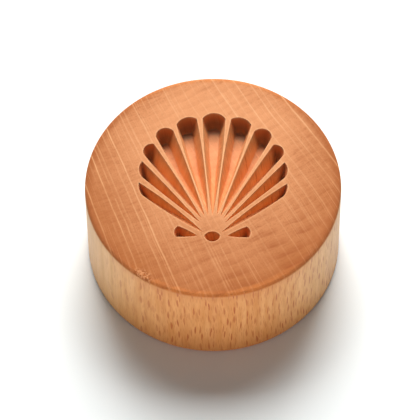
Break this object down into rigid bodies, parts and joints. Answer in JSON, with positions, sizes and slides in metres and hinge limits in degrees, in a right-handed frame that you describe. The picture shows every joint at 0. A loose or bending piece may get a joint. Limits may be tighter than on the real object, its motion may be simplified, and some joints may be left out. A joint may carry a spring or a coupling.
{
  "type": "cookie stamp",
  "caption": "Round wooden cookie stamp, turned from end-grain beech, with a scallop shell carved deep into its face to mark soft dough.",
  "frame": {"origin": "middle of the plain resting face, on the disc's axis", "axes": "+Z out of the carved face, +Y from the shell's hinge toward the round ends of its flutes"},
  "size_m": [0.06, 0.06, 0.0264],
  "materials": {
    "beech": "fine sanded end-grain beech, thinly oiled, satin to matte"
  },
  "bodies": {
    "root": {"stamp": "beech"}
  },
  "joints": []
}
